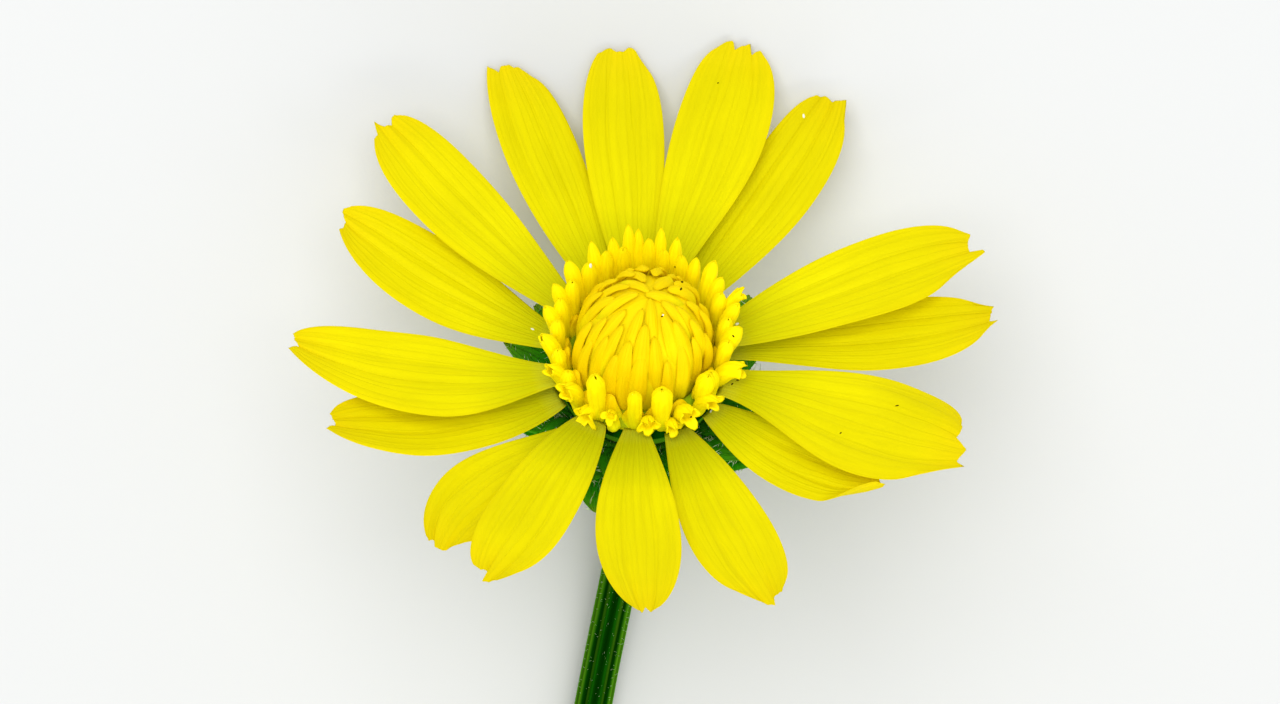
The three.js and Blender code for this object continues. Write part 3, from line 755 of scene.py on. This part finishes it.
# %% A skirt of low pales at its foot
SKIRT_PALES = 19
SKIRT_TURN_PLAY = (-0.15, 0.15)
SKIRT_TIPS = (1.4, 1.6)
SKIRT_SKEWS = (-0.1, 0.1)
SKIRT_SPAN = 0.65
SKIRT_WIDTH = 1.4
SKIRT_LIFT = 0.3
SKIRT_GREEN = 0.8
above = set(dome.verts)
for number in range(SKIRT_PALES):
    turn = tau * (number + draw.uniform(*SKIRT_TURN_PLAY)) / SKIRT_PALES
    tip_angle = draw.uniform(*SKIRT_TIPS)
    skew = draw.uniform(*SKIRT_SKEWS)
    pale(dome, turn, tip_angle, SKIRT_SPAN, SKIRT_WIDTH, SKIRT_LIFT, skew, 0, SKIRT_LIFT)
uv, along, tones = layers(dome)
for vert in set(dome.verts) - above:
    vert[along] *= SKIRT_GREEN
finished(dome, "dome_of_pales", scale_finish, "disc", ["disc_pales"])

# %% [markdown]
# Round the dome stands a ring of open disc florets. Each is a small tube that splits into five lobes. Those
# behind stand up like fingers with their lobes closed, and those in front hang outwards, where the lobes on
# the outer side peel back while the inner ones stay up like a hood.

# %% The open florets' dimensions
# Turn in degrees, reach and height of the mouth, girth of the tube and length of the lobes. Then, unless
# they are closed, the opening of the lobes in degrees, on the side of the dome and on the outer side.
CLOSED = -34
FLORETS = [
    (-139, 5.5, 1.5, 0.5, 1.3, -25, 35), (-125, 5.65, 0.5, 0.46, 1.2, -20, 60),
    (-121, 4.95, 3.5, 0.54, 1.6), (-109, 5.1, 0.7, 0.32, 0.8, -10, 50),
    (-93.5, 5.0, 2.9, 0.42, 1.2, CLOSED, -20), (-85, 5.5, 0.7, 0.42, 1, -10, 45),
    (-75, 4.8, 2.7, 0.6, 1.1), (-70, 5.6, 0.1, 0.36, 0.9, -10, 50), (-61, 5.75, 1.1, 0.5, 1.3, -25, 50),
    (-44, 5.75, 0.8, 0.42, 1, -10, 40), (-41, 5.1, 2.3, 0.54, 1.2, CLOSED, -25), (-33, 4.8, 1.6, 0.5, 1),
    (-20, 6.05, 1.4, 0.52, 1.3, -25, 25), (-10, 5.1, 2.2, 0.44, 1.1),
    (-2, 5.65, 2.5, 0.52, 1.3, CLOSED, -28), (5, 5.0, 2.6, 0.42, 1.2), (13, 5.7, 2.8, 0.42, 1.3),
    (21, 6.1, 2.8, 0.34, 0.8, -10, 50), (23, 5.0, 2.9, 0.44, 1.2), (32, 5.45, 3.1, 0.42, 1.3),
    (40, 5.5, 3.8, 0.44, 1.5), (52, 5.2, 3.3, 0.4, 1.6), (60, 4.7, 3.6, 0.4, 1.6),
    (67, 5.4, 4.0, 0.4, 1.9), (73, 4.6, 3.7, 0.4, 1.7), (77, 5.4, 4.5, 0.36, 2),
    (84, 4.9, 4.1, 0.42, 1.8), (91, 5.4, 4.2, 0.38, 2), (97, 5.4, 4.7, 0.38, 2.1),
    (102, 4.6, 3.8, 0.42, 1.7), (107, 5.3, 3.9, 0.38, 1.7), (114, 4.7, 3.7, 0.4, 1.6),
    (120, 5.5, 3.9, 0.42, 1.9), (128, 4.7, 3.4, 0.46, 1.5), (137, 5.6, 3.4, 0.48, 1.4),
    (145, 4.7, 3.1, 0.42, 1.3), (152, 5.5, 2.9, 0.42, 1.4), (160, 4.8, 2.8, 0.42, 1.3),
    (167, 5.5, 2.6, 0.44, 1.3), (175, 4.7, 2.4, 0.44, 1.2), (-174, 5.5, 2.3, 0.48, 1.5, -28, -10),
    (-165, 4.8, 1.9, 0.42, 1.2), (-158, 5.5, 1.4, 0.44, 1.3, -28, 10), (-150, 4.7, 1.3, 0.44, 0.9),
]
FLORET_ROOT = 4.6
FLORET_SEAT = -1.3
FOOT_GIRTH = 0.38
FLARE_END = 0.85
KNEE_OUT = 0.1
KNEE_AT = 0.62
LOBES = 5
LOBES_ON_LINE = 0.7
LOBE_ROUNDNESS = 0.7
SINUS = (0.94, 0.5)
WALL = 0.14
WALL_ROUNDING = 25
RIM_AT = 0.68
THROAT_DEPTH = 0.05
POINT_SHARPNESS = 1.3
POINT_FULLNESS = 0.8
OPEN_ENOUGH = -5
WIDE_OPEN = 10
PEEL = 0.8
PEELING_SIDE = (-0.6, 0.9)
LOBE_PLAY = 0.3
PLAYS = 1.3
HOOD = 1.35
LIP = 0.7
HOODED_SIDE = (-0.7, 0.5)
DENT = 0.12
DENTS = 2
FLORET_NET = (30, 24)


# %% The open florets
def floret(bm, tone, seed, degrees, reach, height, girth, lobes, inner=CLOSED, outer=CLOSED):
    """Adds one open floret: out along a bent line, to its lobes, over their rim and down the throat."""
    turn = radians(degrees)
    root = around(FLORET_ROOT, turn, 0, FLORET_SEAT)
    mouth = around(reach, turn, 0, height)
    knee = around(FLORET_ROOT + KNEE_OUT, turn, 0, mix(FLORET_SEAT, height, KNEE_AT))
    side = around(0, turn, 1, 0)
    length = (knee - root).length + (mouth - knee).length
    tube = length - lobes * LOBES_ON_LINE
    openness = smooth(outer, CLOSED, WIDE_OPEN)
    sinus = mix(*SINUS, openness)

    def middle(distance):
        share = distance / length
        point = root * (1 - share) ** 2 + knee * (2 * share * (1 - share)) + mouth * share ** 2
        ahead = ((knee - root) * (1 - share) + (mouth - knee) * share).normalized()
        return point, ahead

    def place(way, t):
        angle = tau * way
        outward = cos(angle)
        lobe = sinus + (1 - sinus) * abs(cos(LOBES / 2 * angle)) ** LOBE_ROUNDNESS
        play = noise.noise(Vector((outward * PLAYS, sin(angle) * PLAYS, seed)))
        taller = mix(1, mix(HOOD, LIP, smooth(outward, *HOODED_SIDE)), openness)
        rim = tube + lobes * lobe * taller * (1 + LOBE_PLAY * play)
        if t <= RIM_AT:
            distance = rim * t / RIM_AT
        else:
            distance = mix(rim, max(0, tube - THROAT_DEPTH), (t - RIM_AT) / (1 - RIM_AT))
        past = max(0, distance - tube)
        opening = mix(inner, outer, smooth(outward, *PEELING_SIDE)) * (1 + play * openness)
        spread = radians(opening) * (past / lobes) ** PEEL
        radius = mix(FOOT_GIRTH, girth, smooth(distance, 0, tube * FLARE_END))
        pointed = radius * (1 - min(1, past / lobes) ** POINT_SHARPNESS) ** POINT_FULLNESS
        radius = mix(pointed, radius + past * sin(spread), smooth(opening, CLOSED, OPEN_ENOUGH))
        dent = noise.noise(Vector((outward * DENTS, sin(angle) * DENTS, seed + distance)))
        radius *= 1 + DENT * dent
        if t > RIM_AT:
            radius -= WALL * min(1, (t - RIM_AT) * WALL_ROUNDING)
        if t in (0, 1):
            radius = 0
        point, ahead = middle(min(distance, tube) + past * cos(spread))
        return point + (side.cross(ahead) * outward + side * sin(angle)) * max(0, radius)

    rolled(bm, *FLORET_NET, place, tone)


COLLAR = [(3.9, -1.62), (4.38, -1.62), (4.38, -1.2), (4.2, -0.6), (3.9, -0.35)]
FLORET_DULLNESS = (0, 0.4)
SEED_STEP = 3.7
bm = bmesh.new()
banded(bm, COLLAR)
uv, along, tones = layers(bm)
for face in bm.faces:
    for loop in face.loops:
        loop[uv].uv.y = 0
for number, sizes in enumerate(FLORETS):
    floret(bm, draw.uniform(*FLORET_DULLNESS), number * SEED_STEP, *sizes)
finished(bm, "open_florets", floret_finish, "disc", ["disc_florets"])

# %% [markdown]
# Behind the petals sit the bracts: two close rows of nine narrow ones, and five leafy ones below. They show
# in the gaps between the petals and from behind. They are blades like the petals, with a midrib.

# %% The bracts
BRACT_WIDEST = 0.45
BRACT_END = 1.02
BRACT_FULLNESS = 0.9
BRACT_KEEL = 0.25
BRACT_THICKNESS = 0.36
BRACT_WAVE = 0.22
BRACT_WAVES = (4, 9)
MIDRIB_DEPTH = 0.12
MIDRIB_WIDTH = 0.12
INNER_PATH = ((3.45, -4.92), (4.9, -3.9), (7.9, -2.4))
BETWEEN_PATH = ((3.3, -5.15), (4.9, -4.3), (8.3, -2.9))
OUTER_PATH = ((2.05, -6.35), (5.5, -6.5))
INNER_BRACTS = 9
INNER_SHAPE = (3.1, 0.7)
INNER_NET = (28, 28)
OUTER_TURNS = (-104, -32, 40, 112, 184)
OUTER_REACHES = (10.1, 10.1, 8.3, 9.6, 10.1)
OUTER_TIP = -1.9
OUTER_SHAPE = (4.4, 0.36)
OUTER_NET = (44, 40)
BRACT_BAND = [(2.9, -5.05), (3.32, -5.47), (4.12, -4.67), (3.7, -4.25)]


def bract_surface(path, width, root_share, turn):
    """The middle surface of a bract: a bent path out from the axis, and a pointed outline."""
    @functools.cache
    def place(s, t):
        radius, height = (
            a * (1 - t) ** 2 + b * 2 * t * (1 - t) + c * t * t for a, b, c in zip(*path))
        grown = sin(pi / 2 * min(1, t / BRACT_WIDEST))
        narrowed = max(0, (t - BRACT_WIDEST) / (BRACT_END - BRACT_WIDEST))
        pointed = cos(pi / 2 * narrowed) ** BRACT_FULLNESS
        share = (root_share + (1 - root_share) * grown) * pointed
        wave = BRACT_WAVE * noise.noise(Vector((s, BRACT_WAVES[0] * t, BRACT_WAVES[1] * turn))) * abs(s)
        rib = MIDRIB_DEPTH * exp(-(s / MIDRIB_WIDTH) ** 2)
        lift = (BRACT_KEEL * s * s + wave) * share - rib
        return around(radius, turn, s * width * share / 2, height + lift)

    return place


outer_surfaces = [
    bract_surface((*OUTER_PATH, (reach, OUTER_TIP)), *OUTER_SHAPE, radians(degrees))
    for degrees, reach in zip(OUTER_TURNS, OUTER_REACHES)
]
inner_surfaces = [
    bract_surface(path, *INNER_SHAPE, tau * (number + shift) / INNER_BRACTS)
    for path, shift in ((INNER_PATH, 0.5), (BETWEEN_PATH, 0)) for number in range(INNER_BRACTS)
]
for number, surface in enumerate(outer_surfaces, 1):
    bm = bmesh.new()
    blade(bm, surface, BRACT_THICKNESS, *OUTER_NET)
    finished(bm, f"leafy_bract_{number}", bract_finish, "bracts", [f"outer_bract_{number}"])
bm = bmesh.new()
banded(bm, BRACT_BAND)
for surface in inner_surfaces:
    blade(bm, surface, BRACT_THICKNESS, *INNER_NET)
finished(bm, "narrow_bracts", bract_finish, "bracts", ["inner_bracts"])

# %% [markdown]
# The stem swells into the green cup that carries the head, so it is one skin whose radius changes along its
# middle line. Low ribs run its whole length, paler on their crests and darker in the furrows: partly their
# own colour, partly painted light and shade. Where it lies its underside is flat. The far end is a clean
# cut with a paler, slightly sunken middle.

# %% The stem and its cup
RIBS = 12
RIB_DEPTH = 0.07
RIB_ROUNDNESS = 1.6
# How sharply the colour lightens towards each rib's crest: partly the ribs' own colour, partly painted
# light.
RIB_PAINTED_LIGHT = 2
CUP_LENGTH = 5.0
STEM_COLUMNS = 96
STEM_ROWS = 260
STEM_CROWDING = 1.25
STEM_STEP = 0.05
SWELLING = 0.02
SWELLINGS = 0.12
# The rows over the cut end: how wide each is, and how far it is sunk in.
CUT_ROWS = ((0.93, 0), (0.72, 0.125), (0.35, 0.25), (0, 0.25))


def stem_radius(distance):
    swell = cos(pi * min(1, max(0, (distance - CUP_TOP) / CUP_LENGTH)))
    return STEM_RADIUS + (CUP_RADIUS - STEM_RADIUS) * (1 + swell) / 2


def stem_frame(distance):
    """The stem's middle, its sideways and its upward direction at a distance from the head."""
    middle = stem_point(distance)
    ahead = (stem_point(distance + STEM_STEP) - stem_point(distance - STEM_STEP)).normalized()
    side = ahead.cross(Vector((0, 0, 1))).normalized()
    return middle, side, side.cross(ahead)


def rib_at(turn):
    """1 on the crest of a rib and 0 in a furrow, with one rib on top."""
    return abs(sin(RIBS * pi * turn)) ** RIB_ROUNDNESS


def stem_skin(turn, distance, shrink=1.0):
    """A point of the stem's skin. Under the stem it lies flat on the table."""
    middle, side, up = stem_frame(distance)
    angle = tau * turn
    swelling = 1 + SWELLING * noise.noise(Vector((distance * SWELLINGS, 0, 0)))
    radius = (stem_radius(distance) * swelling - RIB_DEPTH * (1 - rib_at(turn))) * shrink
    point = middle + (side * cos(angle) + up * sin(angle)) * radius
    point.z = max(point.z, 0)
    return point


def stem_place(turn, t):
    """The stem row by row: the cup's middle, the skin, and the cut end."""
    row = round(t * STEM_ROWS)
    if row == 0:
        return stem_frame(CUP_TOP)[0]
    last = STEM_ROWS - len(CUT_ROWS)
    if row <= last:
        share = (row - 1) / (last - 1)
        return stem_skin(turn, CUP_TOP + (stem_length - CUP_TOP) * share ** STEM_CROWDING)
    shrink, sunk = CUT_ROWS[row - last - 1]
    return stem_skin(turn, stem_length - sunk, shrink)


bm = bmesh.new()
rolled(bm, STEM_COLUMNS, STEM_ROWS, stem_place)
uv, along, tones = layers(bm)
# The tone is how near each point is to a rib's crest; the finish paints it lighter there, partly as painted
# light.
for face in bm.faces:
    for loop in face.loops:
        loop.vert[tones] = rib_at(loop[uv].uv.x) ** RIB_PAINTED_LIGHT
finished(bm, "stem", stem_finish, "stalk", ["stalk"], TABLE)

# %% [markdown]
# Short pale hairs stand on the stem and the bracts, greener at their roots. Hair particles would be the
# usual way, but they aren't part of a mesh, so each hair is a cone, sunk into what it grows from.

# %% Hairs
BATCH = 100
HAIR_MIDDLE = 0.4


def hair(bm, root, direction, length, girth):
    """Adds one hair: a thin cone with its root sunk in."""
    direction = direction.normalized()
    at = facing(root + direction * length * HAIR_MIDDLE, direction)
    uv, along, tones = layers(bm)
    made = bmesh.ops.create_cone(
        bm, cap_ends=True, segments=3, radius1=girth, radius2=0, depth=length, matrix=at)
    for vert in made["verts"]:
        vert[along] = 1.0 if (vert.co - root).dot(direction) > length / 2 else 0.0


def planted(hairs):
    """One mesh of many hairs. It grows in batches, because every operator slows down with its mesh."""
    whole = bmesh.new()
    layers(whole)
    for start in range(0, len(hairs), BATCH):
        batch = bmesh.new()
        for root, direction, length, girth in hairs[start:start + BATCH]:
            hair(batch, root, direction, length, girth)
        mesh = bpy.data.meshes.new("batch")
        batch.to_mesh(mesh)
        batch.free()
        whole.from_mesh(mesh)
        bpy.data.meshes.remove(mesh)
    return whole


# %% The stem's hairs
STEM_HAIRS = 3000
STEM_HAIR_GIRTH = 0.011
STEM_HAIR_LENGTHS = (0.14, 0.34)
STEM_HAIRS_FROM = CUP_TOP + 1
STEM_HAIRS_TO = stem_length - 0.3
TOWARDS_HEAD = 1.2
OFF_CREST = 0.035
HAIR_STEP = 0.1
BACK_LEAN = (-0.1, 0.6)
SIDE_LEAN = (-0.2, 0.2)
CLEAR_OF_TABLE = 0.03
draw = random.Random(21)
hairs = []
for number in range(STEM_HAIRS):
    distance = mix(STEM_HAIRS_FROM, STEM_HAIRS_TO, draw.random() ** TOWARDS_HEAD)
    turn = ((round(draw.random() * RIBS) + 0.5) / RIBS + draw.gauss(0, OFF_CREST)) % 1
    root = stem_skin(turn, distance)
    middle, side, up = stem_frame(distance)
    out = (root - middle).normalized()
    back = (stem_point(distance - HAIR_STEP) - stem_point(distance + HAIR_STEP)).normalized()
    lean = out + back * draw.uniform(*BACK_LEAN) + side * draw.uniform(*SIDE_LEAN)
    length = draw.uniform(*STEM_HAIR_LENGTHS)
    if root.z + lean.normalized().z * length >= CLEAR_OF_TABLE:
        hairs.append((root, lean, length, STEM_HAIR_GIRTH))
finished(planted(hairs), "stem_hairs", hair_finish, "stalk", [], TABLE)

# %% The bracts' hairs
OUTER_HAIRS = (150, 0.9)
INNER_HAIRS = (60, 0.8)
BRACT_HAIR_GIRTH = 0.036
BRACT_HAIR_LEAST = 0.25
BRACT_HAIR_SEAT = 0.45 * BRACT_THICKNESS
ON_MARGIN = 0.45
FACE_LEAN = 0.5
MARGIN_LEAN = (0.1, 0.7)
HAIRY_ACROSS = (-0.9, 0.9)
HAIRY_ALONG = (0.05, 0.97)
hairs = []
haired = [(surface, OUTER_HAIRS) for surface in outer_surfaces]
haired += [(surface, INNER_HAIRS) for surface in inner_surfaces]
for surface, (count, longest) in haired:
    for number in range(count):
        margin = draw.random() < ON_MARGIN
        s = draw.choice((-1, 1)) if margin else draw.uniform(*HAIRY_ACROSS)
        t = draw.uniform(*HAIRY_ALONG)
        root = surface(s, t)
        across = surface(s + NORMAL_STEP, t) - surface(s - NORMAL_STEP, t)
        ahead = (surface(s, t + NORMAL_STEP) - surface(s, t - NORMAL_STEP)).normalized()
        if margin:
            lean = across.normalized() * s + ahead * draw.uniform(*MARGIN_LEAN)
        else:
            out = ahead.cross(across).normalized() * draw.choice((-1, 1, 1))
            lean = out + ahead * FACE_LEAN
            root = root + out * BRACT_HAIR_SEAT
        hairs.append((root, lean, draw.uniform(BRACT_HAIR_LEAST, longest), BRACT_HAIR_GIRTH))
finished(planted(hairs), "bract_hairs", hair_finish, "bracts")

# %% [markdown]
# The photograph looks at the flower's face a little from its lower edge. The camera is a long lens, so that
# nothing bulges, and it looks at the middle of the head.

# %% The camera
VIEW_DISTANCE = 0.4
VIEW_WIDTH = 0.0727
VIEW_TILT = radians(10)
SENSOR = 36.0
back = Vector((0, -sin(VIEW_TILT), cos(VIEW_TILT)))
upward = Vector((0, -cos(VIEW_TILT), -sin(VIEW_TILT)))
camera_data = bpy.data.cameras.new("camera")
camera_data.sensor_width = SENSOR
camera_data.lens = SENSOR * VIEW_DISTANCE / VIEW_WIDTH
camera_data.clip_start = 0.01
camera = shown("camera", camera_data)
turned = Matrix((upward.cross(back), upward, back)).transposed().to_4x4()
camera.matrix_world = Matrix.Translation(HEAD.translation + back * VIEW_DISTANCE) @ turned
scene.camera = camera

# %% [markdown]
# A few specks sit on the disc and the petals: dark grains, a brown scar and dry whitish bits. A ray from
# the camera finds the skin that carries each of them. A painted mask would need a picture.

# %% The specks
# Sideways and upward in the picture, in millimetres from the head's middle, then length, width and turn.
SPECKS = {
    "dark_specks": (speck_finish, "disc", [
        (2.39, 3.98, 0.11, 0.06, 60), (2.33, 3.58, 0.13, 0.06, 100), (5.57, -1.59, 0.12, 0.05, -10),
        (5.23, -1.82, 0.08, 0.05, 30), (2.9, -3.69, 0.07, 0.06, 0), (1.99, 4.83, 0.08, 0.05, 45),
        (1.25, 2.02, 0.07, 0.04, -30), (5.3, 0.9, 0.09, 0.05, 20)]),
    "dry_specks": (hair_finish, "disc", [
        (-2.8, 4.9, 0.1, 0.14, 80), (5.51, 1.59, 0.12, 0.08, 0), (4.03, -3.35, 0.16, 0.07, 60),
        (1.31, 2.1, 0.06, 0.05, 0)]),
    "petal_specks": (speck_finish, "rays", [
        (4.43, 15.28, 0.06, 0.035, 45), (14.6, -3.05, 0.12, 0.035, -15), (11.4, -4.6, 0.07, 0.04, 10)]),
    "petal_dry_specks": (hair_finish, "rays", [(9.3, 13.4, 0.14, 0.08, 30), (-6.1, 1.3, 0.12, 0.06, -20)]),
}
SPECK_FLATNESS = 0.04
skins = []
for piece in bpy.data.objects:
    if piece.name.startswith(("petal_", "dome_", "open_")):
        corners = [vert.co for vert in piece.data.vertices]
        skins.append(BVHTree.FromPolygons(corners, [tuple(face.vertices) for face in piece.data.polygons]))


def first_met(sideways, along):
    """The place and the normal of the first skin met by the camera's ray through a point of the picture."""
    eye = camera.matrix_world.translation
    target = HEAD.translation + (upward.cross(back) * sideways + upward * along) * MM
    met = [skin.ray_cast(eye, (target - eye).normalized()) for skin in skins]
    place, normal, face, distance = min((hit for hit in met if hit[0]), key=lambda hit: hit[3])
    return place, normal


for name, (material, slot, places) in SPECKS.items():
    bm = bmesh.new()
    for sideways, upwards, length, width, turn in places:
        place, normal = first_met(sideways, upwards)
        size = Matrix.Diagonal((length * MM, width * MM, SPECK_FLATNESS * MM, 1))
        shape = facing(place, normal) @ Matrix.Rotation(radians(turn), 4, "Z") @ size
        bmesh.ops.create_uvsphere(bm, u_segments=10, v_segments=6, radius=1.0, matrix=shape)
    uv, along, tones = layers(bm)
    for vert in bm.verts:
        vert[along] = 1.0
    finished(bm, name, material, slot, [], Matrix())

# %% [markdown]
# A plain pale floor and soft light: a large panel above, a little towards the top of the picture, a weaker
# one from the picture's foot, and a pale world that fills the shadows. The view is Standard, because the
# yellow is nearly as pure as a screen can show, and the softer view would grey it.

# %% The floor and the light
FLOOR_SIZE = 3.0
FLOOR_DROP = 0.02 * MM
FLOOR_GREY = (0.62, 0.62, 0.61, 1)
WORLD_COLOUR = (0.95, 0.98, 1, 1)
WORLD_STRENGTH = 0.75
bm = bmesh.new()
bmesh.ops.create_grid(bm, x_segments=1, y_segments=1, size=FLOOR_SIZE / 2)
floor_mesh = bpy.data.meshes.new("floor")
bm.to_mesh(floor_mesh)
bm.free()
floor_finish, tree, shader, roll, along = finish("floor_pale", 0.9, 0.5)
give(shader, {"Base Color": FLOOR_GREY})
floor_mesh.materials.append(floor_finish)
floor = shown("floor", floor_mesh)
floor.location.z = -FLOOR_DROP


def panel(name, direction, distance, size, power):
    """A square area light that looks at the head from a direction."""
    data = bpy.data.lights.new(name, "AREA")
    data.size = size
    data.energy = power
    direction = Vector(direction).normalized()
    shown(name, data).matrix_world = facing(HEAD.translation + direction * distance, direction)


panel("key", direction=(0.1, -0.38, 0.93), distance=0.6, size=0.5, power=2.65)
panel("fill", direction=(-0.25, 0.75, 0.65), distance=0.7, size=0.5, power=2.2)
world = bpy.data.worlds.new("pale_world")
world.use_nodes = True
give(world.node_tree.nodes["Background"], {"Color": WORLD_COLOUR, "Strength": WORLD_STRENGTH})
scene.world = world
scene.view_settings.view_transform = "Standard"
